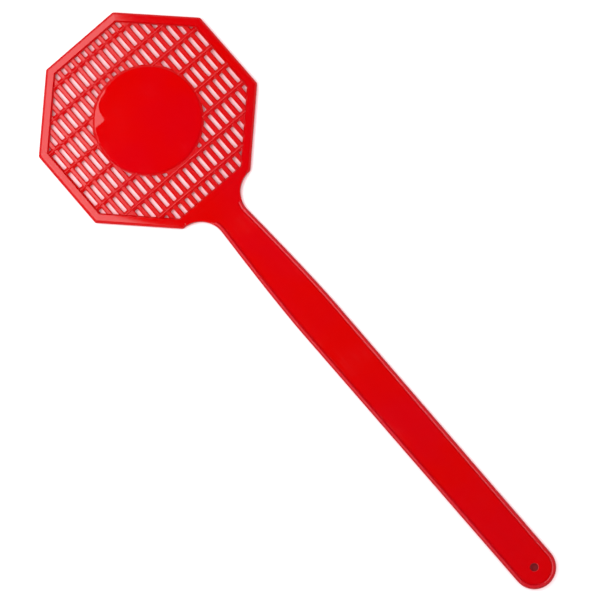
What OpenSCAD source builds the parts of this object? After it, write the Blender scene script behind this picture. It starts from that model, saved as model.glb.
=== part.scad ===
// Fly swatter: an octagonal slotted head on a flat ribbed handle, with a neck that flexes.
// It lies flat. X runs along the handle, from the head to the hanging hole, and Z is up.
// The origin is under the middle of the whole length, on the surface that it lies on.

/* [Head] */
// Size of the octagonal head across its flats
head_af = 108; // [80:1:140]
// Width of the raised rim round the head
rim_w = 4.8; // [3:0.1:8]
// Height of the rim and of the handle's rib, front to back
edge_h = 3.6; // [2.8:0.1:6]

/* [Grille] */
// Width of one slot
slot_w = 1.92; // [1:0.02:3]
// Length of one slot, along the handle
slot_l = 9.3; // [5:0.05:14]
// Width of the bar between two neighbouring slots
fine_bar_w = 2.62; // [1.5:0.02:4]
// Width of the cross bar between two rows of slots
cross_bar_w = 2.95; // [1.5:0.05:5]
// How far the middle row of slots is moved along the handle
row_shift = -1.2; // [-6:0.05:6]
// Plain edge that the grille keeps inside the rim
grille_edge = 0.4; // [0.3:0.1:3]
// Least width and length of a cut slot that is worth having
slot_least = 0.9; // [0.5:0.1:2]
// Thickness of the grille's bars
grille_t = 2; // [1.2:0.1:2.8]

/* [Centre disc] */
// Diameter of the solid disc in the middle of the head
disc_d = 56.4; // [30:0.2:70]
// Thickness of the disc
disc_t = 2.6; // [1.4:0.1:3.4]
// Plain edge that the grille keeps round the disc
disc_edge = 0.4; // [0.3:0.1:2]

/* [Neck] */
// Width of the neck where it is narrowest
neck_w = 17.2; // [10:0.2:24]
// Distance from the head to where the neck is narrowest
neck_reach = 13.4; // [8:0.2:20]
// Radius of the notch on each side of the neck
notch_r = 13.5; // [9:0.1:24]
// Free length of the neck, from the head to where the handle's rib starts
neck_free = 9.2; // [5:0.1:12]
// Thickness of the neck and of the handle's panel
web_t = 2; // [1.2:0.1:2.8]

/* [Handle] */
// Length of the neck and handle, from the head to the tip
handle_l = 253.6; // [180:0.2:340]
// Width of the handle at its widest, at the end of the flare
handle_w = 22.6; // [17:0.2:32]
// Width of the handle at its round tip
tip_w = 21.6; // [16:0.2:32]
// Length over which the handle widens from the neck
flare_l = 64; // [30:1:100]
// Width of the raised rib along the handle's edge
rib_w = 2.3; // [1.5:0.1:4]
// Length of the piece of panel that holds the hanging hole, back from the tip
end_l = 24; // [18:1:40]
// Diameter of the hanging hole
hole_d = 4; // [2.5:0.1:8]

/* [Hidden] */
$fn = 96;

// Octagon facts
octagon_turn = 22.5;
octagon_sides = 8;

// Places along X
total_l = head_af + handle_l;
head_x = -total_l / 2 + head_af / 2;
flat_x = head_x + head_af / 2;
rib_x = flat_x + neck_free;
neck_x = flat_x + neck_reach;
tip_x = total_l / 2;
round_x = tip_x - tip_w / 2;
end_x = tip_x - end_l;

// Heights: every web lies in the middle of the rim's height
mid_z = edge_h / 2;

// Grille
rim_inner = head_af / 2 - rim_w;
slots_outer = rim_inner - grille_edge;
slots_inner = disc_d / 2 + disc_edge;
column_pitch = slot_w + fine_bar_w;
row_pitch = slot_l + cross_bar_w;
columns_each_side = ceil(rim_inner / column_pitch);
rows_each_side = ceil(rim_inner / row_pitch) + 1;

// The notch's arc runs into the flare without a kink: the flare's half width grows by
// flare_gain * (1 - (1 - u) ^ flare_power), with u from 0 at its start to 1 at its end.
flare_power = 1.5;
flare_steps = 24;
notch_steps = 12;
tip_steps = 24;
notch_y = neck_w / 2 + notch_r;
flare_angle = atan(flare_power * (handle_w - neck_w) / 2 / flare_l);
flare_x = neck_x + notch_r * sin(flare_angle);
flare_half = notch_y - notch_r * cos(flare_angle);
flare_gain = handle_w / 2 - flare_half;

// Runs a cutting shape past the face that it cuts
over = 1;

function flare_at(u) = flare_half + flare_gain * (1 - pow(1 - u, flare_power));

// Half width of the neck at x, where both notches bite into it
function notch_half(x, inset) =
    notch_y - sqrt(max(0, pow(notch_r + inset, 2) - pow(neck_x - x, 2)));

// Upper edge of the neck from x = low_x to high_x
function notch_edge(low_x, high_x, inset) =
    [for (i = [0 : notch_steps])
        let (x = low_x + (high_x - low_x) * i / notch_steps)
        [x, notch_half(x, inset)]];

// A slot is kept if enough of it lies inside the rim and outside the disc
function slot_kept(x, y) =
    let (near_x = abs(x) - slot_l / 2,
         near_y = abs(y) - slot_w / 2,
         far_x = abs(x) + slot_l / 2,
         far_y = abs(y) + slot_w / 2,
         reach = slots_outer - slot_least)
    near_x < reach
    && near_y < reach
    && near_x + near_y < reach * sqrt(2)
    && norm([far_x, far_y]) > slots_inner + slot_least;

module octagon(inner_r) {
    rotate(octagon_turn)
        circle(r = inner_r / cos(octagon_turn), $fn = octagon_sides);
}

// A plate of thickness t lying in the middle of the rim's height
module mid_plate(t) {
    translate([0, 0, mid_z])
        linear_extrude(t, center = true)
            children();
}

// Every slot that is kept, whole, about the head's middle
module slot_field() {
    for (row = [-rows_each_side : rows_each_side])
        for (column = [-columns_each_side : columns_each_side - 1]) {
            x = row_shift + row * row_pitch;
            y = (column + 0.5) * column_pitch;
            if (slot_kept(x, y))
                translate([x, y])
                    square([slot_l, slot_w], center = true);
        }
}

// A shape that is the same on both sides of the X axis, from its upper edge
module mirrored(upper) {
    last = len(upper) - 1;
    polygon(concat(upper, [for (i = [last : -1 : 0]) if (upper[i].y > 0) [upper[i].x, -upper[i].y]]));
}

// Outline of the handle from x = from_x to the tip, drawn inset all round by inset
module handle_outline(from_x, inset) {
    tip_r = tip_w / 2 - inset;
    flare = [for (i = [1 : flare_steps])
                [flare_x + flare_l * i / flare_steps, flare_at(i / flare_steps) - inset]];
    tip = [for (i = [0 : tip_steps])
              [round_x + tip_r * sin(90 * i / tip_steps), tip_r * cos(90 * i / tip_steps)]];
    mirrored(concat(notch_edge(from_x, flare_x, inset), flare, tip));
}

// Raised octagonal border that stiffens the head
module head_rim() {
    color("red")
        translate([head_x, 0, 0])
            linear_extrude(edge_h)
                difference() {
                    octagon(head_af / 2);
                    octagon(rim_inner);
                }
}

// Slotted plate that lets the air through
module grille() {
    color("crimson")
        translate([head_x, 0, 0])
            mid_plate(grille_t)
                difference() {
                    octagon(rim_inner);
                    circle(d = disc_d);
                    intersection() {
                        slot_field();
                        difference() {
                            octagon(slots_outer);
                            circle(r = slots_inner);
                        }
                    }
                }
}

// Solid round panel in the middle of the grille
module centre_disc() {
    color("firebrick")
        translate([head_x, 0, 0])
            mid_plate(disc_t)
                circle(d = disc_d);
}

// Thin notched web that flexes between the head and the handle
module neck_web() {
    color("tomato")
        mid_plate(web_t)
            mirrored(notch_edge(flat_x, rib_x, 0));
}

// Flat panel inside the handle's rib, as far as the hanging end
module handle_panel() {
    color("red")
        mid_plate(web_t)
            intersection() {
                handle_outline(rib_x, rib_w);
                translate([rib_x, -handle_w])
                    square([end_x - rib_x, 2 * handle_w]);
            }
}

// Raised rib along both edges of the handle and round its tip
module handle_rib() {
    color("firebrick")
        linear_extrude(edge_h)
            difference() {
                handle_outline(rib_x, 0);
                handle_outline(rib_x - over, rib_w);
            }
}

// Round end of the panel, with the hole that it hangs from
module hang_end() {
    color("crimson")
        mid_plate(web_t)
            difference() {
                handle_outline(rib_x, rib_w);
                translate([rib_x - over, -handle_w])
                    square([end_x - rib_x + over, 2 * handle_w]);
                translate([round_x, 0])
                    circle(d = hole_d);
            }
}

head_rim();
grille();
centre_disc();
neck_web();
handle_panel();
handle_rib();
hang_end();
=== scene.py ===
import math

import bmesh
import bpy
import numpy as np
from mathutils import Matrix, Vector


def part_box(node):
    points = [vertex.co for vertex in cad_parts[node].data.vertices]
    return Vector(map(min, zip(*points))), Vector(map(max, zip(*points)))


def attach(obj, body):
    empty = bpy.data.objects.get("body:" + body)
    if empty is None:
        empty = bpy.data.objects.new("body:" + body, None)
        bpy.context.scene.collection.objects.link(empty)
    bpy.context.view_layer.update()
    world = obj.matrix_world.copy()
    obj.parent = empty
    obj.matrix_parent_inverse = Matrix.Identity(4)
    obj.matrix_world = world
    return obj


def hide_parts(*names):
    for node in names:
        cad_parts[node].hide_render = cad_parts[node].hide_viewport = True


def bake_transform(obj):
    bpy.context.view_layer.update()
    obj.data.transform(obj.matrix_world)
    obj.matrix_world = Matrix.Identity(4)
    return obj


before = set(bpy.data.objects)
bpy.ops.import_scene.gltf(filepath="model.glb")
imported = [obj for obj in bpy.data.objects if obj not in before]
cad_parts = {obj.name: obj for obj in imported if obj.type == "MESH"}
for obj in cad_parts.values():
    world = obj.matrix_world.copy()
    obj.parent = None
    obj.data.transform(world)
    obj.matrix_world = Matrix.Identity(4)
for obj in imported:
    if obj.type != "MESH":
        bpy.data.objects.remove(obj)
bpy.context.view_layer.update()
print("frame loaded:", ", ".join(sorted(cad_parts)))

mm = 0.001


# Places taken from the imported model, as low and high corners in millimetres
def nodeBox(node):
    low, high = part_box(node)
    return np.array(low) / mm, np.array(high) / mm


rimLow, rimHigh = nodeBox("head_rim")
grilleLow, grilleHigh = nodeBox("grille")
discLow, discHigh = nodeBox("centre_disc")
neckHigh = nodeBox("neck_web")[1]
panelHigh = nodeBox("handle_panel")[1]
ribLow, ribHigh = nodeBox("handle_rib")
endLow, endHigh = nodeBox("hang_end")

headX = (rimLow[0] + rimHigh[0]) / 2     # middle of the head
flatX = rimHigh[0]                       # the head's flat that the neck joins
ribX = ribLow[0]                         # start of the handle's rib
tipX = ribHigh[0]                        # far end of the handle
midZ = (rimLow[2] + rimHigh[2]) / 2      # mid height of every piece


# Quads between each point of a rows x columns grid and its next neighbours, wrapping round where asked
def gridQuads(rows, columns, wrapRows=False, wrapColumns=False, start=0):
    i = np.arange(rows if wrapRows else rows - 1)[:, None]
    j = np.arange(columns if wrapColumns else columns - 1)[None, :]
    nextI, nextJ = (i + 1) % rows, (j + 1) % columns
    here, below = i * columns, nextI * columns
    return np.stack([here + j, here + nextJ, below + nextJ, below + j], -1).reshape(-1, 4) + start


# Six times the volume inside the faces: the sum of a . (b x c) over their triangles
def signedVolume(points, faces):
    total = 0.0
    for size in sorted({len(f) for f in faces}):
        same = np.array([f for f in faces if len(f) == size])
        for k in range(1, size - 1):
            a, b, c = points[same[:, 0]], points[same[:, k]], points[same[:, k + 1]]
            total += np.einsum("ij,ij->i", a, np.cross(b, c)).sum()
    return total


# A closed mesh from points in millimetres, turned outwards, smooth but for edges sharper than the angle
def addPiece(name, points, faces, sharpAngle=40, edge=None):
    faces = [list(map(int, f)) for f in faces]
    if signedVolume(points, faces) < 0:
        faces = [f[::-1] for f in faces]
    mesh = bpy.data.meshes.new(name)
    mesh.from_pydata((points * mm).tolist(), [], faces)
    if edge is not None:
        mesh.attributes.new("edge", "FLOAT", "POINT").data.foreach_set("value", edge.astype(np.float32))
    mesh.validate()
    piece = bpy.data.objects.new(name, mesh)
    bpy.context.scene.collection.objects.link(piece)
    smoothPiece(piece, sharpAngle)
    return piece


# Smooth shading, with edges sharper than the angle in degrees kept crisp
def smoothPiece(piece, sharpAngle):
    mesh = piece.data
    mesh.polygons.foreach_set("use_smooth", np.ones(len(mesh.polygons), bool))
    mesh.set_sharp_from_angle(angle=math.radians(sharpAngle))
    mesh.update()


# Points and faces of a closed tube from rows x columns x 3 points, with one face over each end
def cappedTube(points):
    rows, columns = points.shape[:2]
    faces = gridQuads(rows, columns, wrapColumns=True).tolist()
    faces.append(list(range(columns)))
    faces.append(list(range((rows - 1) * columns, rows * columns))[::-1])
    return points.reshape(-1, 3), faces


# 3 t squared - 2 t cubed, between 0 and 1
def smoothStep(t):
    t = np.clip(t, 0, 1)
    return t * t * (3 - 2 * t)


# How worn a point is: exp(-((distance - place) / spread) squared), with the distance in from the outline
def wearAt(distance, shape):
    return np.exp(-((distance - shape["wearPlace"]) / shape["wearSpread"]) ** 2)


rimShape = {
    "width": 4.8,           # from the outer flat to the grille
    "bevelStart": 0.15,     # where the outer bevel starts, in from the flat
    "bevelRun": 0.95,       # how far it slopes in
    "bevelDrop": 0.95,      # over this height
    "bevelSweep": 1.15,     # and along this much of a sine curve, in radians
    "wallRun": 0.5,         # how far the inner wall slopes in
    "wallDrop": 0.75,       # over this height
    "foot": 0.3,            # the wall's foot covers this much of the grille's edge
    "cornerOuter": 1.3,     # radius of the octagon's corners outside
    "cornerInner": 0.5,     # and inside
    "cornerSteps": 5,
    "sideSteps": 6,
    "wearPlace": 0.45,      # the edge is worn most this far in
    "wearSpread": 0.35,
    "sharpAngle": 25,
}


# Octagon with rounded corners: each corner is an arc about a point (inradius - rounding) / cos 22.5 deg
# from the middle, and each side is cut into equal steps between two arcs
def octagonRing(inradius, rounding, cornerSteps, sideSteps):
    inradius, rounding = np.atleast_1d(inradius)[:, None, None], np.atleast_1d(rounding)[:, None, None]
    corner = np.radians(22.5 + 45 * np.arange(8))[None, :, None]
    turn = corner + np.radians(np.linspace(-22.5, 22.5, cornerSteps + 1))[None, None, :]
    reach = (inradius - rounding) / math.cos(math.radians(22.5))
    arc = np.stack([reach * np.cos(corner) + rounding * np.cos(turn),
                    reach * np.sin(corner) + rounding * np.sin(turn)], -1)
    t = (np.arange(1, sideSteps) / sideSteps)[None, None, :, None]
    side = arc[:, :, -1:, :] * (1 - t) + np.roll(arc, -1, axis=1)[:, :, :1, :] * t
    return np.concatenate([arc, side], 2).reshape(len(inradius), -1, 2)


# Half of the rim's section as (inradius, height over mid height), from the parting line up the outer wall
# and its bevel, over the flat top and down the sloping inner wall. The bevel is part of a sine curve
def rimSection(shape, outer, h):
    inner = outer - shape["width"]
    crest = inner + shape["wallRun"]
    low, foot = h - shape["wallDrop"], inner - shape["foot"]
    rise = np.linspace(0, 1, 7)
    start, run, drop, sweep = [shape[key] for key in ("bevelStart", "bevelRun", "bevelDrop", "bevelSweep")]
    bevel = np.stack([outer - start - run * rise,
                      h - 0.12 - drop * (1 - np.sin(sweep * rise) / math.sin(sweep))], -1)
    edge = outer - start - run
    return np.array([
        [outer, 0.0], [outer - 0.04, h - drop - 0.3], *bevel, [edge - 0.12, h - 0.04], [edge - 0.24, h],
        [crest + 0.3, h], [crest + 0.04, h], [crest - 0.03, h - 0.04],
        [inner + 0.06, low], [inner - 0.1, low - 0.2], [foot, low - 0.36], [foot, 0.0]])


# Rim: each point of its section goes round an octagon of its own inradius, at its own height, and the
# corners' rounding goes from the outer radius to the inner one in proportion to how far in the point lies
def buildRim(shape):
    outer = (rimHigh[0] - rimLow[0]) / 2
    half = rimSection(shape, outer, (rimHigh[2] - rimLow[2]) / 2)
    section = np.concatenate([half, half[-2:0:-1] * [1, -1]])
    inward = (outer - section[:, 0]) / shape["width"]
    rounding = shape["cornerOuter"] + (shape["cornerInner"] - shape["cornerOuter"]) * inward
    ring = octagonRing(section[:, 0], rounding, shape["cornerSteps"], shape["sideSteps"])
    points = np.concatenate([ring, np.broadcast_to(section[:, None, 1:], ring.shape[:2] + (1,))], -1)
    points = points + [headX, 0, midZ]
    rows, columns = points.shape[:2]
    edge = np.repeat(wearAt(outer - section[:, 0], shape), columns)
    faces = gridQuads(rows, columns, True, True)
    return addPiece("headRim", points.reshape(-1, 3), faces, shape["sharpAngle"], edge)


rim = buildRim(rimShape)
print("head rim:", len(rim.data.polygons), "faces")


grilleShape = {
    "slotLength": 9.3,
    "slotWidth": 1.92,
    "fineBar": 2.62,        # between two slots in a row
    "crossBar": 2.95,       # between two rows
    "rowShift": -1.2,       # how far the middle row is moved along the handle
    "least": 0.9,           # least opening worth having
    "fineTop": 0.34,        # how much lower the fine bars are than the cross bars' ridges
    "fineFlank": 0.6,       # how far a fine bar's side slopes in
    "ridge": 0.34,          # flat width of a cross bar's ridge
    "gable": 0.58,          # how far a ridge's slope runs before it meets a fine bar's top
    "rimOverlap": 0.4,      # how far the bars run into the rim, out of sight
    "discOverlap": 0.6,     # and into the disc
    "cutterHeight": 4.0,    # half height of the ring they are cut to
    "mergeGap": 0.01,       # points closer than this are one
    "sharpAngle": 20,
}


# A slot is open if enough of it lies inside the rim and outside the disc
def slotOpen(x, y, shape, rimInner, discOuter):
    halfLength, halfWidth = shape["slotLength"] / 2, shape["slotWidth"] / 2
    nearX, nearY = abs(x) - halfLength, abs(y) - halfWidth
    reach = rimInner - shape["least"]
    inside = (nearX < reach) & (nearY < reach) & (nearX + nearY < reach * math.sqrt(2))
    return inside & (np.hypot(abs(x) + halfLength, abs(y) + halfWidth) > discOuter + shape["least"])


# Points and faces of the upper half of one cell. Three rings go from the slot's waist up to its chamfered
# edge, each as one corner's two points turned into all four quarters, and a fourth lies where the fine bar's
# side and the cross bar's gable meet its flat top. Outside it are the flat tops and the gables' ridges
def cellHalf(shape, halfX, halfY, top, opened):
    length, width = shape["slotLength"] / 2, shape["slotWidth"] / 2
    level = top - shape["fineTop"]
    meetX, meetY = halfX - shape["gable"], width + shape["fineFlank"]
    ridgeX = halfX - shape["ridge"] / 2
    corners = np.array([
        [[length, width - 0.3, 0.0], [length - 0.3, width, 0.0]],
        [[length + 0.03, width - 0.27, level - 0.42], [length - 0.27, width + 0.03, level - 0.42]],
        [[length + 0.14, width - 0.12, level - 0.33], [length - 0.12, width + 0.12, level - 0.31]],
        [[meetX, meetY, level], [meetX, meetY, level]]])
    first = 0 if opened else 3
    quarters = ((1, 1, (0, 1)), (-1, 1, (1, 0)), (-1, -1, (0, 1)), (1, -1, (1, 0)))
    rings = np.concatenate([corners[first:, order] * [turnX, turnY, 1] for turnX, turnY, order in quarters], 1)
    faces = gridQuads(len(rings), 8, wrapColumns=True).tolist()
    points = rings.reshape(-1, 3)
    if not opened:
        faces.append([0, 2, 4, 6])
    # The rest of the cell as a grid of lines across and along, each crossing one point
    xs = np.array([-halfX, -ridgeX, -meetX, meetX, ridgeX, halfX])
    heights = np.array([top, top - 0.03, level, level, top - 0.03, top])
    ys = np.array([-halfY, -meetY, meetY, halfY])
    grid = np.array([[x, y, z] for x, z in zip(xs, heights) for y in ys])
    slotQuad = (len(xs) // 2 - 1) * (len(ys) - 1) + 1
    around = gridQuads(len(xs), len(ys), start=len(points)).tolist()
    del around[slotQuad]
    return np.concatenate([points, grid]), faces + [q[::-1] for q in around]


# Octagonal prism with a round hole, that the cells are cut to: four loops, two at each height
def cuttingRing(outer, inner, halfHeight, rounding=0.3, cornerSteps=2, sideSteps=21):
    ring = octagonRing(outer, rounding, cornerSteps, sideSteps)[0]
    turn = np.arctan2(ring[:, 1], ring[:, 0])
    hole = np.stack([inner * np.cos(turn), inner * np.sin(turn)], -1)
    loops = [(ring, halfHeight), (hole, halfHeight), (hole, -halfHeight), (ring, -halfHeight)]
    points = np.concatenate([np.column_stack([p, np.full(len(p), z)]) for p, z in loops])
    return points + [headX, 0, midZ], gridQuads(4, len(ring), True, True)


# Grille: the cell's upper half and its mirror image go to every centre, as centre + point, in rows along
# the handle and columns across it. They are joined where they meet and cut to the ring they lie in
def buildGrille(shape):
    rimInner = (grilleHigh[0] - grilleLow[0]) / 2
    discOuter = (discHigh[0] - discLow[0]) / 2
    top = (grilleHigh[2] - grilleLow[2]) / 2
    halfX = (shape["slotLength"] + shape["crossBar"]) / 2
    halfY = (shape["slotWidth"] + shape["fineBar"]) / 2
    reach = rimInner + shape["rimOverlap"]
    columns = math.ceil(reach / halfY / 2)
    rows = math.ceil(reach / halfX / 2 + 1)
    x = shape["rowShift"] + np.arange(-rows, rows + 1) * 2 * halfX
    x = x[abs(x) < reach + halfX]
    y = (np.arange(-columns, columns) + 0.5) * 2 * halfY
    cellX, cellY = [g.ravel() for g in np.meshgrid(x, y)]
    opened = slotOpen(cellX, cellY, shape, rimInner, discOuter)
    allPoints, allFaces, count = [], [], 0
    for isOpen in (True, False):
        points, faces = cellHalf(shape, halfX, halfY, top, isOpen)
        centre = np.stack([cellX, cellY, np.zeros_like(cellX)], -1)[opened == isOpen]
        for side in (1, -1):
            block = centre[:, None, :] + points[None] * [1, 1, side]
            offset = count + np.arange(len(centre)) * len(points)
            for f in faces:
                allFaces += (offset[:, None] + np.array(f[::side])[None]).tolist()
            allPoints.append(block.reshape(-1, 3))
            count += block.shape[0] * block.shape[1]
    mesh = bpy.data.meshes.new("grille")
    mesh.from_pydata(((np.concatenate(allPoints) + [headX, 0, midZ]) * mm).tolist(), [], allFaces)
    work = bmesh.new()
    work.from_mesh(mesh)
    bmesh.ops.remove_doubles(work, verts=work.verts, dist=shape["mergeGap"] * mm)
    border = [e for e in work.edges if e.is_boundary]
    bmesh.ops.bridge_loops(work, edges=border)
    bmesh.ops.recalc_face_normals(work, faces=work.faces)
    work.to_mesh(mesh)
    work.free()
    piece = bpy.data.objects.new("slottedGrille", mesh)
    bpy.context.scene.collection.objects.link(piece)
    cutter = addPiece("grilleCutter",
                      *cuttingRing(reach, discOuter - shape["discOverlap"], shape["cutterHeight"]))
    cut = piece.modifiers.new("cut", "BOOLEAN")
    cut.operation, cut.solver, cut.object = "INTERSECT", "MANIFOLD", cutter
    result = bpy.data.meshes.new_from_object(piece.evaluated_get(bpy.context.evaluated_depsgraph_get()))
    piece.modifiers.clear()
    bpy.data.objects.remove(cutter)
    piece.data = result
    result.name = "slottedGrille"
    smoothPiece(piece, shape["sharpAngle"])
    print("grille:", int(opened.sum()), "slots,", len(result.polygons), "faces")
    return piece


grille = buildGrille(grilleShape)


discShape = {
    "shoulderRun": 1.2,     # how far the shoulder slopes out
    "shoulderDrop": 0.8,    # over this height
    "foot": 0.38,           # below it the edge stands out this much over the grille
    "pole": 0.6,            # radius of the face in the middle
    "sinkSlope": 0.02,      # steepest slope of the shallow sink left by cooling
    # Where it is steepest, as (direction in degrees, radius): the edge is drawn in by a bay on one side
    "sinkEdge": ((0, 27.6), (193, 27.6), (196, 25.5), (203, 25.9), (210, 26.1), (216, 25.2), (222, 23.6),
                 (228.5, 21.6), (231, 22.2), (237, 26.0), (239.5, 27.6), (360, 27.6)),
    "sinkFade": 1.0,        # past that edge the slope goes to none over this much radius
    "gateRadius": 1.3,      # small round mark in the middle of the back
    "gateHeight": 0.3,
    "dimpleRadius": 4.5,    # in this dimple
    "dimpleDepth": 0.25,
    "rings": 70,
    "steps": 360,
    "wearPlace": 0.6,
    "wearSpread": 0.4,
    "sharpAngle": 18,
}


# Depth of the sink at radius r and angle a: its slope is s (r / radius) squared up to an edge, and then falls
# to none. The edge is read off its table by angle, and a bay's flat lies a little under the rest of the brim
def sinkDepth(shape, r, a):
    edge = np.interp(np.degrees(a), *np.array(shape["sinkEdge"]).T)
    slope = shape["sinkSlope"] * (r / r[-1]) ** 2 * (1 - smoothStep((r - edge) / shape["sinkFade"]))
    gain = np.diff(r, axis=0) * (slope[1:] + slope[:-1]) / 2
    rise = np.concatenate([np.zeros_like(r[:1]), np.cumsum(gain, axis=0)])
    return rise[-1].max() - rise


# Disc as height over mid height at radius and angle: h - sink on the front, a falling shoulder that takes
# up what sink there is at the brim, and a flat back with a small gate mark in a dimple
def buildDisc(shape):
    radius = (discHigh[0] - discLow[0]) / 2
    h = (discHigh[2] - discLow[2]) / 2
    flat = radius - shape["shoulderRun"]
    angle = np.arange(shape["steps"]) * 2 * np.pi / shape["steps"]
    shoulder = np.array([[0, 0], [0.3, 0.24], [0.55, 0.47], [0.78, 0.72], [0.92, 0.88], [1, 1]])
    shoulder = [flat, h] + shoulder * [shape["shoulderRun"], -shape["shoulderDrop"]]
    foot = np.array([[radius + 0.02, h - shape["shoulderDrop"]], [radius + shape["foot"] - 0.1, h - 0.9],
                     [radius + shape["foot"], h - 1.02]])
    r = np.linspace(shape["pole"], flat - 0.08, shape["rings"])[:, None] * np.ones_like(angle)
    depth = sinkDepth(shape, r, angle * np.ones_like(r))
    front = np.stack([r, h - depth], -1)
    gate, hollow = shape["gateRadius"], shape["dimpleRadius"]
    rBack = np.concatenate([
        [shape["pole"], gate - 0.15, gate, gate + 0.15, hollow - 0.5, hollow, hollow + 0.5],
        np.linspace(hollow + 2, flat - 0.25, 10)])
    dimple = shape["dimpleDepth"] * (1 - smoothStep(rBack - hollow + 0.5))
    nub = shape["gateHeight"] * (1 - smoothStep((rBack - gate + 0.15) / 0.3))
    plain = np.concatenate([shoulder, foot, foot[::-1] * [1, -1], shoulder[::-1] * [1, -1],
                            np.stack([rBack, -(h - dimple + nub)], -1)[::-1]])
    plain = np.repeat(plain[:, None, :], len(angle), 1)
    plain[:len(shoulder), :, 1] -= depth[-1] * (1 - np.linspace(0, 1, len(shoulder)))[:, None]
    reach, height = np.moveaxis(np.concatenate([front, plain]), -1, 0)
    points = np.stack([reach * np.cos(angle), reach * np.sin(angle), height], -1)
    points, faces = cappedTube(points + [headX, 0, midZ])
    edge = wearAt(radius - reach, shape).ravel()
    return addPiece("centreDisc", points, faces, shape["sharpAngle"], edge)


disc = buildDisc(discShape)
print("disc:", len(disc.data.polygons), "faces")


# Outline of the neck and the handle
outline = {
    "neckWidth": 17.2,      # at the narrowest place
    "neckReach": 13.4,      # from the head to the narrowest place
    "notchRadius": 13.5,
    "handleWidth": 22.6,    # where it is widest
    "tipWidth": 21.6,       # where its round end starts
    "flareLength": 64.0,    # over which it widens after the neck
    "flarePower": 1.5,
}
neckX = flatX + outline["neckReach"]
notchY = outline["neckWidth"] / 2 + outline["notchRadius"]
flareAngle = math.atan(outline["flarePower"] * (outline["handleWidth"] - outline["neckWidth"]) / 2
                       / outline["flareLength"])
flareX = neckX + outline["notchRadius"] * math.sin(flareAngle)
flareEnd = flareX + outline["flareLength"]
flareHalf = notchY - outline["notchRadius"] * math.cos(flareAngle)
roundX = tipX - outline["tipWidth"] / 2


# Half width at x: the notch's arc, then flareHalf + gain (1 - (1 - u) ^ power), then a straight taper
def halfWidth(x):
    x = np.asarray(x, float)
    arc = notchY - np.sqrt(np.maximum(outline["notchRadius"] ** 2 - (neckX - x) ** 2, 0))
    u = np.clip((x - flareX) / outline["flareLength"], 0, 1)
    flare = flareHalf + (outline["handleWidth"] / 2 - flareHalf) * (1 - (1 - u) ** outline["flarePower"])
    t = np.clip((x - flareEnd) / (roundX - flareEnd), 0, 1)
    taper = (outline["tipWidth"] - outline["handleWidth"]) / 2 * t
    return np.where(x < flareX, arc, flare + taper)


webShape = {
    "edgeRound": 0.75,      # radius of the web's outer edges
    "rimOverlap": 2.6,      # how far the web runs back under the rim's rounded edge
    "tuck": 0.06,           # its hidden start lies this much lower
    "rampStart": 1.6,       # it leaves the rim's top this far inside the head's flat
    "rampTop": 0.004,       # and this far below it
    "underRib": 0.3,        # the panel stops this far inside the rib's outer wall
    "neckSteps": 26,
    "panelSteps": 90,
    "topSteps": 10,
    "sharpAngle": 50,
}


# Section of a flat web at each x: half width w, top at height t over mid height, edges of radius r,
# as a closed loop of (y, height). The top's own points stop a little short of the rounding
def webSections(w, t, r, topSteps):
    w, t, r = [np.asarray(v, float)[:, None] for v in (w, t, r)]
    turn = np.radians(np.linspace(90, 0, 6))[None, :]
    inner = w - r
    across = np.linspace(-1, 1, topSteps + 1)[None, :]
    top = np.stack([inner * across * 0.985, np.broadcast_to(t, (len(w), topSteps + 1))], -1)
    right = np.stack([inner + r * np.cos(turn), t - r + r * np.sin(turn)], -1)
    left = right[:, ::-1] * [-1, 1]
    half = np.concatenate([left, top, right], 1)
    return np.concatenate([half, half[:, ::-1] * [1, -1]], 1)


# Web of the given sections, one at each x
def buildWeb(name, shape, x, w, t):
    loops = webSections(w, t, np.full(len(x), shape["edgeRound"]), shape["topSteps"])
    along = np.broadcast_to(x[:, None, None], loops.shape[:2] + (1,))
    points, faces = cappedTube(np.concatenate([along, loops], -1) + [0, 0, midZ])
    return addPiece(name, points, faces, shape["sharpAngle"])


# Neck: its top falls from the rim's top to the web's by a smooth step along it
def buildNeck(shape):
    start = flatX - shape["rampStart"]
    x = np.concatenate([[flatX - shape["rimOverlap"]], np.linspace(start, ribX, shape["neckSteps"])])
    high, low = rimHigh[2] - midZ - shape["rampTop"], neckHigh[2] - midZ
    t = high - (high - low) * smoothStep((x - start) / (ribX - start))
    t[0] -= shape["tuck"]
    return buildWeb("neckWeb", shape, x, halfWidth(np.maximum(x, flatX)), t)


# Panel: flat, and as wide as the outline less what the rib covers, which comes in over its first millimetre
def buildPanel(shape):
    x = np.concatenate([np.linspace(ribX, flareEnd, shape["panelSteps"] * 2 // 3),
                        np.linspace(flareEnd, panelHigh[0], shape["panelSteps"] // 3)[1:]])
    w = halfWidth(x) - shape["underRib"] * smoothStep(x - ribX)
    return buildWeb("handlePanel", shape, x, w, np.full(len(x), panelHigh[2] - midZ))


neck = buildNeck(webShape)
panel = buildPanel(webShape)
print("neck and panel:", len(neck.data.polygons), len(panel.data.polygons), "faces")


ribShape = {
    "width": 2.3,
    "noseLength": 1.5,      # rounded start of the rib on each side of the neck
    "noseSetback": 0.35,    # it grows from this far after the neck's end
    "noseReach": 0.9,       # and no further back over the neck than this
    "flareSteps": 60,
    "straightSteps": 60,
    "tipSteps": 40,
    "noseSteps": 6,
    "wearPlace": 0.9,
    "wearSpread": 0.5,
    "sharpAngle": 60,
}


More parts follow.
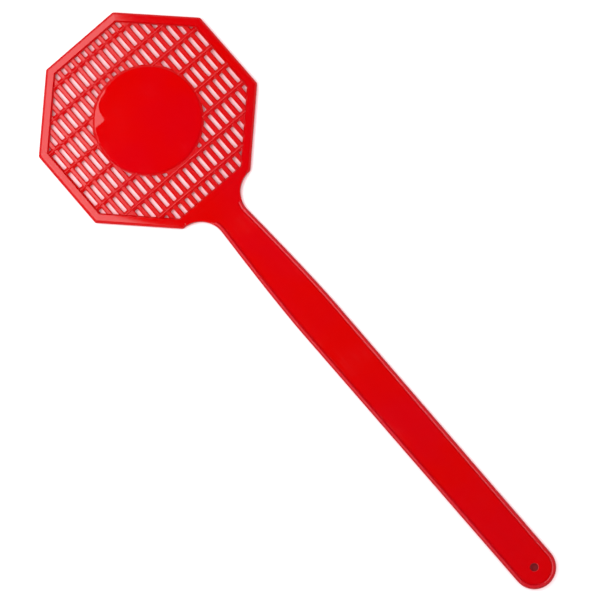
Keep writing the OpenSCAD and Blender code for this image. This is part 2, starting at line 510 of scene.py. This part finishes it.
# Rib section as (inset from the outline, height over mid height) over its top, from the outer wall to its
# foot on the panel; h is the half height and p the panel's
def ribSection(shape, h, p):
    w = shape["width"]
    return np.array([
        [0.0, 0.0], [0.08, h - 1.5], [0.28, h - 1.05], [0.52, h - 0.65], [0.76, h - 0.33], [0.96, h - 0.13],
        [1.14, h - 0.03], [1.3, h], [1.45, h - 0.02], [1.6, h - 0.055], [1.75, h - 0.105], [1.88, h - 0.17],
        [1.98, h - 0.26], [2.07, h - 0.42], [w - 0.14, p + 0.12], [w - 0.1, p - 0.06], [w - 0.1, 0.0]])


# Path along the outline from the upper nose round the tip to the lower one, with the inward normal,
# found by turning the tangent through a right angle
def ribPath(shape):
    start = ribX + shape["noseSetback"]
    x = np.concatenate([
        np.linspace(start, flareEnd, shape["flareSteps"]),
        np.linspace(flareEnd, roundX, shape["straightSteps"])[1:]])
    upper = np.stack([x, halfWidth(x)], -1)
    turn = np.radians(np.linspace(90, -90, shape["tipSteps"] + 1))[1:-1]
    radius = outline["tipWidth"] / 2
    tip = np.stack([roundX + radius * np.cos(turn), radius * np.sin(turn)], -1)
    path = np.concatenate([upper, tip, upper[::-1] * [1, -1]])
    tangent = np.gradient(path, axis=0)
    tangent /= np.linalg.norm(tangent, axis=1)[:, None]
    return path, np.stack([tangent[:, 1], -tangent[:, 0]], -1), tangent


# Rib: its section carried along the path, as path + inset x inward normal, and closed by a nose at each end
def buildRib(shape):
    h, p = ribHigh[2] - midZ, panelHigh[2] - midZ
    half = ribSection(shape, h, p)
    section = np.concatenate([half, half[-2:0:-1] * [1, -1]])
    path, inward, tangent = ribPath(shape)
    middle = np.array([shape["width"] / 2, 0.0])
    # Nose: the section shrinks about its middle as the square root of 1 - s squared, s from 0 to 1
    s = np.sin(np.radians(np.linspace(90, 0, shape["noseSteps"] + 1)[:-1]))
    shrink = np.sqrt(np.maximum(1 - s ** 2, 0))
    shrink[0] = 0.03
    noses = []
    for k, sign in ((0, -1), (-1, 1)):
        local = middle + (section - middle) * shrink[:, None, None] ** np.array([1.0, 0.6])
        base = path[k] + sign * tangent[k] * shape["noseLength"] * s[:, None]
        flat = base[:, None, :] + local[..., :1] * inward[k]
        noses.append(np.concatenate([flat, local[..., 1:]], -1))
    body = path[:, None, :] + section[None, :, :1] * inward[:, None, :]
    body = np.concatenate([body, np.broadcast_to(section[None, :, 1:], body.shape[:2] + (1,))], -1)
    points = np.concatenate([noses[0], body, noses[1][::-1]])
    points[..., 0] = np.maximum(points[..., 0], ribX - shape["noseReach"])
    points, faces = cappedTube(points + [0, 0, midZ])
    edge = np.tile(wearAt(section[:, 0], shape) * (abs(section[:, 1]) > 1), len(points) // len(section))
    return addPiece("handleRib", points, faces, shape["sharpAngle"], edge)


rib = buildRib(ribShape)
print("rib:", len(rib.data.polygons), "faces")


endShape = {
    "underRib": 0.3,        # it stops this far inside the rib's outer wall
    "holeRadius": 2.0,
    "holeRound": 0.35,      # radius of the hole's edge
    "steps": 128,
    "sharpAngle": 50,
}


# Hanging end: rings that go from the hole's edge to the outline, as hole + (outline - hole) t, flat but for
# the hole's edge, which is rounded over
def buildEnd(shape):
    h = endHigh[2] - midZ
    n = shape["steps"]
    angle = (np.arange(n) + 0.5) * 2 * np.pi / n
    direction = np.stack([np.cos(angle), np.sin(angle)], -1)
    radius = outline["tipWidth"] / 2 - shape["underRib"]
    back = roundX - endLow[0]
    # Distance to the outline along each direction: the round tip, the side walls or the straight back
    toSide = radius / abs(direction[:, 1])
    toBack = back / abs(direction[:, 0])
    distance = np.where(direction[:, 0] >= 0, radius, np.minimum(toSide, toBack))
    hole, soft = shape["holeRadius"], shape["holeRound"]
    turn = np.radians(np.linspace(0, 90, 5))
    lip = [(hole + soft - soft * math.cos(a), h - soft + soft * math.sin(a)) for a in turn]
    rings = [np.column_stack([direction * r, np.full(n, z)]) for r, z in [(hole, 0.0)] + lip]
    for t in (0.02, 0.2, 0.45, 0.7, 0.95, 1.0):
        r = (hole + soft) + (distance - hole - soft) * t
        rings.append(np.column_stack([direction * r[:, None], np.full(n, h)]))
    upper = np.array(rings)
    points = np.concatenate([upper, upper[:0:-1] * [1, 1, -1]]) + [roundX, 0, midZ]
    faces = gridQuads(len(points), n, True, True)
    return addPiece("hangingEnd", points.reshape(-1, 3), faces, shape["sharpAngle"])


end = buildEnd(endShape)
print("hanging end:", len(end.data.polygons), "faces")


# Node group with named sockets; each input is (name, socket type, value)
def newGroup(name, inputs, outputs):
    tree = bpy.data.node_groups.new(name, "ShaderNodeTree")
    for label, kind, value in inputs:
        socket = tree.interface.new_socket(label, in_out="INPUT", socket_type="NodeSocket" + kind)
        if value is not None:
            socket.default_value = value
    for label, kind in outputs:
        tree.interface.new_socket(label, in_out="OUTPUT", socket_type="NodeSocket" + kind)
    return tree, tree.nodes.new("NodeGroupInput"), tree.nodes.new("NodeGroupOutput")


# A colour mix's sockets go by number
firstColour, secondColour, mixedColour = 6, 7, 2


# Node with values and links for its inputs, each by the socket's name or number
def addNode(tree, kind, values=None, links=None, **settings):
    node = tree.nodes.new("ShaderNode" + kind)
    for key, value in settings.items():
        setattr(node, key, value)
    for key, value in (values or {}).items():
        node.inputs[key].default_value = value
    for key, source in (links or {}).items():
        tree.links.new(source, node.inputs[key])
    return node


# Result of a math node; each operand is a number or another node's output
def maths(tree, operation, first, second=None):
    node = addNode(tree, "Math", operation=operation)
    for k, value in enumerate((first, second)):
        if isinstance(value, (int, float)):
            node.inputs[k].default_value = value
        elif value is not None:
            tree.links.new(value, node.inputs[k])
    return node.outputs[0]


# Smooth step of a value from one range to another
def ramp(tree, value, low, high, toLow=0.0, toHigh=1.0):
    return addNode(tree, "MapRange", {"From Min": low, "From Max": high, "To Min": toLow, "To Max": toHigh},
                   {"Value": value}, interpolation_type="SMOOTHSTEP").outputs["Result"]


# Height of moulded skin: fine noise from the mould's spark finish over a coarser orange peel
def makeSkinGroup():
    tree, given, out = newGroup("mouldSkin", [("Vector", "Vector", None), ("Fine Scale", "Float", 2600.0),
                                              ("Peel Scale", "Float", 420.0), ("Peel Share", "Float", 0.5)],
                                [("Height", "Float")])
    fine = addNode(tree, "TexNoise", {"Detail": 3.0, "Roughness": 0.6},
                   {"Vector": given.outputs["Vector"], "Scale": given.outputs["Fine Scale"]})
    peel = addNode(tree, "TexNoise", {"Detail": 1.0}, {"Vector": given.outputs["Vector"],
                                                       "Scale": given.outputs["Peel Scale"]})
    mix = addNode(tree, "Mix", links={"Factor": given.outputs["Peel Share"], "A": fine.outputs["Fac"],
                                      "B": peel.outputs["Fac"]})
    tree.links.new(mix.outputs["Result"], out.inputs["Height"])
    return tree


# Long faint scuffs: noise stretched a hundredfold along two crossing directions, cut to thin bands, and
# shown only in patches
def makeScuffGroup():
    tree, given, out = newGroup("handlingScuffs", [("Vector", "Vector", None), ("Amount", "Float", 1.0)],
                                [("Mask", "Float")])
    total = None
    for turn, seed in ((0.5, 0.0), (-0.9, 3.7)):
        place = addNode(tree, "Mapping", {"Rotation": (0, 0, turn), "Scale": (14, 900, 14),
                                          "Location": (seed, seed, 0)}, {"Vector": given.outputs["Vector"]})
        line = addNode(tree, "TexNoise", {"Scale": 1.0, "Detail": 0.0}, {"Vector": place.outputs[0]})
        away = maths(tree, "ABSOLUTE", maths(tree, "SUBTRACT", line.outputs["Fac"], 0.5))
        band = ramp(tree, away, 0.012, 0.002)
        total = band if total is None else maths(tree, "MAXIMUM", total, band)
    patch = addNode(tree, "TexNoise", {"Scale": 45.0, "Detail": 2.0}, {"Vector": given.outputs["Vector"]})
    shown = maths(tree, "MULTIPLY", total, ramp(tree, patch.outputs["Fac"], 0.5, 0.68))
    tree.links.new(maths(tree, "MULTIPLY", shown, given.outputs["Amount"]), out.inputs["Mask"])
    return tree


# Dust specks: a small spot at the middle of a few cells of a random net
def makeDustGroup():
    tree, given, out = newGroup("dustSpecks", [("Vector", "Vector", None), ("Scale", "Float", 130.0),
                                               ("Size", "Float", 0.035), ("Share", "Float", 0.12)],
                                [("Mask", "Float")])
    cell = addNode(tree, "TexVoronoi", links={"Vector": given.outputs["Vector"],
                                              "Scale": given.outputs["Scale"]})
    split = addNode(tree, "SeparateColor", links={"Color": cell.outputs["Color"]})
    chosen = maths(tree, "LESS_THAN", split.outputs[0], given.outputs["Share"])
    size = maths(tree, "MULTIPLY", given.outputs["Size"], maths(tree, "ADD", split.outputs[1], 0.4))
    spot = maths(tree, "LESS_THAN", cell.outputs["Distance"], size)
    tree.links.new(maths(tree, "MULTIPLY", chosen, spot), out.inputs["Mask"])
    return tree


dustColour = (0.6, 0.24, 0.24)


# Colour that drifts a little where the melt flowed, and is paler on worn edges, in scuffs and under dust
def makeTintGroup():
    tree, given, out = newGroup("meltTint", [
        ("Vector", "Vector", None), ("Colour", "Color", (0.5, 0, 0, 1)),
        ("Drift Colour", "Color", (0.4, 0, 0, 1)), ("Worn Colour", "Color", (0.6, 0.02, 0.02, 1)),
        ("Drift", "Float", 0.5), ("Edge", "Float", 0.0), ("Scuff", "Float", 0.0), ("Dust", "Float", 0.0)],
        [("Color", "Color")])
    flow = addNode(tree, "TexNoise", {"Scale": 22.0, "Detail": 4.0, "Distortion": 0.6},
                   {"Vector": given.outputs["Vector"]})
    share = maths(tree, "MULTIPLY", ramp(tree, flow.outputs["Fac"], 0.35, 0.7), given.outputs["Drift"])
    drift = addNode(tree, "Mix", data_type="RGBA")
    worn = addNode(tree, "Mix", data_type="RGBA")
    dusty = addNode(tree, "Mix", {secondColour: (*dustColour, 1)}, data_type="RGBA")
    for node, factor, first, second in (
            (drift, share, given.outputs["Colour"], given.outputs["Drift Colour"]),
            (worn, maths(tree, "MAXIMUM", given.outputs["Edge"], given.outputs["Scuff"]),
             drift.outputs[mixedColour], given.outputs["Worn Colour"]),
            (dusty, given.outputs["Dust"], worn.outputs[mixedColour], None)):
        tree.links.new(factor, node.inputs["Factor"])
        tree.links.new(first, node.inputs[firstColour])
        if second is not None:
            tree.links.new(second, node.inputs[secondColour])
    tree.links.new(dusty.outputs[mixedColour], out.inputs["Color"])
    return tree


skinGroup = makeSkinGroup()
scuffGroup = makeScuffGroup()
dustGroup = makeDustGroup()
tintGroup = makeTintGroup()


# One of the groups above placed in a material, with values and links for its inputs
def groupNode(tree, group, vector, values=None, links=None):
    node = tree.nodes.new("ShaderNodeGroup")
    node.node_tree = group
    tree.links.new(vector, node.inputs["Vector"])
    for key, value in (values or {}).items():
        node.inputs[key].default_value = value
    for key, source in (links or {}).items():
        tree.links.new(source, node.inputs[key])
    return node


plasticFinish = {
    "colour": (0.45, 0.0, 0.0),
    "driftColour": (0.425, 0.0, 0.004),     # what it drifts to
    "wornColour": (0.53, 0.008, 0.012),     # on edges and in scuffs
    "drift": 0.5,
    "roughness": 0.06,      # of the polished skin
    "scuffed": 0.3,         # roughness in a scuff
    "scuffPale": 0.4,       # how far a scuff goes to the worn colour
    "skinRough": 0.02,      # how much the skin's own height adds to the roughness
    "skinDepth": 0.0012,    # mm
    "fineScale": 2600.0,    # of the skin's finest noise
    "edgeWear": 0.25,
    "scuffs": 0.5,
    "dust": 0.03,
    "glow": 0.2,            # share of the light that spreads inside the plastic
    "glowReach": 3.0,       # mm
    "glowSpread": (1.0, 0.1, 0.1),   # share of that reach for red, green and blue
    "ior": 1.5,
}
finishes = {
    "rim_plastic": {"edgeWear": 0.35},
    "grille_plastic": {"scuffs": 0.2, "edgeWear": 0.0, "dust": 0.02, "roughness": 0.13},
    "disc_plastic": {"scuffs": 0.4, "dust": 0.05, "edgeWear": 0.1, "roughness": 0.03},
    "neck_plastic": {"edgeWear": 0.0},
    "handle_plastic": {"scuffs": 0.6, "dust": 0.08, "edgeWear": 0.0},
    "rib_plastic": {"edgeWear": 0.2, "fineScale": 2200.0, "roughness": 0.17, "colour": (0.44, 0.0, 0.004),
                    "driftColour": (0.43, 0.0, 0.009)},
}


# Material of one slot: the plain finish with that slot's own values over it
def makePlastic(slot):
    finish = {**plasticFinish, **finishes[slot]}
    material = bpy.data.materials.new(slot)
    material.use_nodes = True
    tree = material.node_tree
    shader = tree.nodes["Principled BSDF"]
    place = addNode(tree, "TexCoord").outputs["Object"]
    skin = groupNode(tree, skinGroup, place, {"Fine Scale": finish["fineScale"]})
    scuff = groupNode(tree, scuffGroup, place, {"Amount": finish["scuffs"]})
    dust = groupNode(tree, dustGroup, place, {"Share": finish["dust"]})
    edge = addNode(tree, "Attribute", attribute_name="edge")
    wear = maths(tree, "MULTIPLY", edge.outputs["Fac"], finish["edgeWear"])
    pale = maths(tree, "MULTIPLY", scuff.outputs["Mask"], finish["scuffPale"])
    tint = groupNode(tree, tintGroup, place, {
        "Colour": (*finish["colour"], 1), "Drift Colour": (*finish["driftColour"], 1),
        "Worn Colour": (*finish["wornColour"], 1), "Drift": finish["drift"]},
        {"Edge": wear, "Scuff": pale, "Dust": dust.outputs["Mask"]})
    tree.links.new(tint.outputs["Color"], shader.inputs["Base Color"])
    rough = ramp(tree, maths(tree, "MAXIMUM", scuff.outputs["Mask"], dust.outputs["Mask"]), 0.0, 1.0,
                 finish["roughness"], finish["scuffed"])
    rough = maths(tree, "ADD", rough, maths(tree, "MULTIPLY", skin.outputs["Height"], finish["skinRough"]))
    tree.links.new(rough, shader.inputs["Roughness"])
    bump = addNode(tree, "Bump", {"Strength": 1.0, "Distance": finish["skinDepth"] * mm},
                   {"Height": skin.outputs["Height"]})
    tree.links.new(bump.outputs["Normal"], shader.inputs["Normal"])
    shader.inputs["IOR"].default_value = finish["ior"]
    shader.inputs["Subsurface Weight"].default_value = finish["glow"]
    shader.inputs["Subsurface Radius"].default_value = finish["glowSpread"]
    shader.inputs["Subsurface Scale"].default_value = finish["glowReach"] * mm
    return material


materials = {slot: makePlastic(slot) for slot in finishes}
print("materials:", ", ".join(materials))


# Each piece stands in for its node and rides on its body; the neck has no body and its place is baked into its
# points
for piece, node, body, slot in (
        (rim, "head_rim", "head", "rim_plastic"), (grille, "grille", "head", "grille_plastic"),
        (disc, "centre_disc", "head", "disc_plastic"), (neck, "neck_web", None, "neck_plastic"),
        (panel, "handle_panel", "handle", "handle_plastic"), (rib, "handle_rib", "handle", "rib_plastic"),
        (end, "hang_end", "handle", "handle_plastic")):
    piece.data.materials.clear()
    piece.data.materials.append(materials[slot])
    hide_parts(node)
    if body:
        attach(piece, body)
    else:
        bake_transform(piece)


# In metres and watts but where a line says mm
studio = {
    "viewTurn": 139.377,        # direction on the floor that is up in the view, degrees from X
    "cameraPlace": (300.05, -1.75, 1474.3),   # from the middle of the head, mm
    "cameraAim": (119.83, -1.22, 0.0),        # mm
    "lens": 177.66,             # mm
    "sensor": 36.0,             # mm
    "clip": (0.05, 20.0),
    "lightMiddle": (-0.007, -0.001, 0.0),     # what the lights are placed from
    "boxHeight": 0.8,           # the softbox's height
    "boxEdge": 0.204,           # how far left of the middle its near edge is
    "boxSize": (0.55, 1.3),
    "boxPower": 6.6,
    "lampPlace": (-0.23, 0.05, 0.36),         # right of, up from and over the middle
    "lampSize": (0.16, 0.16),
    "lampPower": 0.85,
    # Tent as (low, high, start, finish): its strength goes from start below the low elevation in degrees to
    # finish above the high one, in the tent for what it lights and in the wall for what is mirrored
    "tentFade": (8.0, 34.0, 0.0, 1.55),
    "wallFade": (12.0, 32.0, 0.3, 0.0),
    "floorReach": 3.0,
    "floorGap": 0.0001,         # how far the floor lies under the object
    "floorRoughness": 0.9,
    "floorColour": (0.98, 0.86, 0.875),
    # Close under the plastic the floor is painted pink, a painted light in place of red light that the plastic
    # would pass and bounce down: in full where the first share of the sky is open and not at all where the
    # second is
    "paintedPinkColour": (0.98, 0.52, 0.56),
    "paintedPinkOpen": (0.3, 0.75),
    "glowReach": 4.5,           # mm, how near the plastic must lie over the floor for the painted pink
    # Under the hanging hole the floor is painted dark red, a painted shade that makes the hole look deep, out
    # to the first of these, in mm, and plain from the second
    "paintedShadeSpot": (3.5, 4.5),
    "paintedShadeColour": (0.3, 0.004, 0.012),
}


# Floor just under the object, pale but painted pink, a painted light, where the plastic lies close over it,
# and painted dark red, a painted shade, under the hanging hole
def addFloor():
    reach, level = studio["floorReach"], -studio["floorGap"]
    corners = [(x * reach, y * reach, level) for x, y in ((-1, -1), (1, -1), (1, 1), (-1, 1))]
    mesh = bpy.data.meshes.new("floor")
    mesh.from_pydata(corners, [], [(0, 1, 2, 3)])
    floor = bpy.data.objects.new("floor", mesh)
    bpy.context.scene.collection.objects.link(floor)
    material = bpy.data.materials.new("paleFloorPaintedLight")
    material.use_nodes = True
    tree = material.node_tree
    shader = tree.nodes["Principled BSDF"]
    place = addNode(tree, "TexCoord").outputs["Object"]
    # Painted light: where the plastic closes in the sky over the floor, the floor's colour goes to pink
    sky = addNode(tree, "AmbientOcclusion", {"Distance": studio["glowReach"] * mm}, samples=16)
    under = ramp(tree, sky.outputs["AO"], *studio["paintedPinkOpen"], 1.0, 0.0)
    away = addNode(tree, "VectorMath", {1: (roundX * mm, 0, 0)}, {0: place}, operation="DISTANCE")
    # Painted shade: a dark red spot on the floor under the hanging hole
    dark, plain = studio["paintedShadeSpot"]
    spot = ramp(tree, away.outputs["Value"], dark * mm, plain * mm, 1.0, 0.0)
    glow = addNode(tree, "Mix", {firstColour: (*studio["floorColour"], 1),
                                 secondColour: (*studio["paintedPinkColour"], 1)},
                   {"Factor": under}, data_type="RGBA")
    hole = addNode(tree, "Mix", {secondColour: (*studio["paintedShadeColour"], 1)},
                   {"Factor": spot, firstColour: glow.outputs[mixedColour]}, data_type="RGBA")
    tree.links.new(hole.outputs[mixedColour], shader.inputs["Base Color"])
    shader.inputs["Roughness"].default_value = studio["floorRoughness"]
    mesh.materials.append(material)
    floor.visible_glossy = False


# Turns a lamp or camera, which looks along its own -Z, to face a place with the view's up direction upwards
def aimAt(thing, place, aim):
    forward = (aim - place).normalized()
    right = forward.cross(viewUp).normalized()
    up = right.cross(forward)
    thing.matrix_world = Matrix.Translation(place) @ Matrix((right, up, -forward)).transposed().to_4x4()


# Rectangular lamp
def addArea(name, place, aim, size, power):
    light = bpy.data.lights.new(name, "AREA")
    light.shape = "RECTANGLE"
    light.size, light.size_y = size
    light.energy = power
    lamp = bpy.data.objects.new(name, light)
    bpy.context.scene.collection.objects.link(lamp)
    aimAt(lamp, place, aim)
    return lamp


# Softbox that is seen only as a highlight in the plastic, and a lamp over the head that is not seen there
def addLamps():
    middle, up = Vector(studio["lightMiddle"]), Vector((0, 0, 1))
    boxLeft = studio["boxEdge"] + studio["boxSize"][0] / 2
    boxPlace = middle - viewRight * boxLeft + up * studio["boxHeight"]
    softbox = addArea("softbox", boxPlace, boxPlace - up, studio["boxSize"], studio["boxPower"])
    softbox.visible_diffuse = False
    lampRight, lampUp, lampHeight = studio["lampPlace"]
    lampPlace = middle + viewRight * lampRight + viewUp * lampUp + up * lampHeight
    headLamp = addArea("headLamp", lampPlace, headPlace, studio["lampSize"], studio["lampPower"])
    headLamp.visible_glossy = False


# Light tent as a smooth step over height above the horizon: it lights from above, and only its dim lower
# wall is mirrored in the plastic
def addTent():
    world = bpy.data.worlds.new("tent")
    bpy.context.scene.world = world
    world.use_nodes = True
    tree = world.node_tree
    place = addNode(tree, "TexCoord").outputs["Generated"]
    height = addNode(tree, "SeparateXYZ", links={0: place}).outputs["Z"]
    mirrored = addNode(tree, "LightPath").outputs["Is Glossy Ray"]
    lit, wall = [ramp(tree, height, math.sin(math.radians(low)), math.sin(math.radians(high)), start, finish)
                 for low, high, start, finish in (studio["tentFade"], studio["wallFade"])]
    mix = addNode(tree, "Mix", links={"Factor": mirrored, "A": lit, "B": wall})
    background = tree.nodes["Background"]
    background.inputs["Color"].default_value = (1, 1, 1, 1)
    tree.links.new(mix.outputs["Result"], background.inputs["Strength"])


# Camera that looks down on the object, a little from the handle's side
def addCamera():
    camera = bpy.data.cameras.new("camera")
    camera.lens, camera.sensor_width = studio["lens"], studio["sensor"]
    camera.clip_start, camera.clip_end = studio["clip"]
    viewer = bpy.data.objects.new("camera", camera)
    bpy.context.scene.collection.objects.link(viewer)
    place, aim = [headPlace + Vector(studio[key]) * mm for key in ("cameraPlace", "cameraAim")]
    aimAt(viewer, place, aim)
    bpy.context.scene.camera = viewer


viewTurn = math.radians(studio["viewTurn"])
viewUp = Vector((math.cos(viewTurn), math.sin(viewTurn), 0))
viewRight = Vector((math.sin(viewTurn), -math.cos(viewTurn), 0))
headPlace = Vector((headX * mm, 0, 0))
addFloor()
addLamps()
addTent()
addCamera()
bpy.context.scene.view_settings.view_transform = "Standard"
print("studio ready")
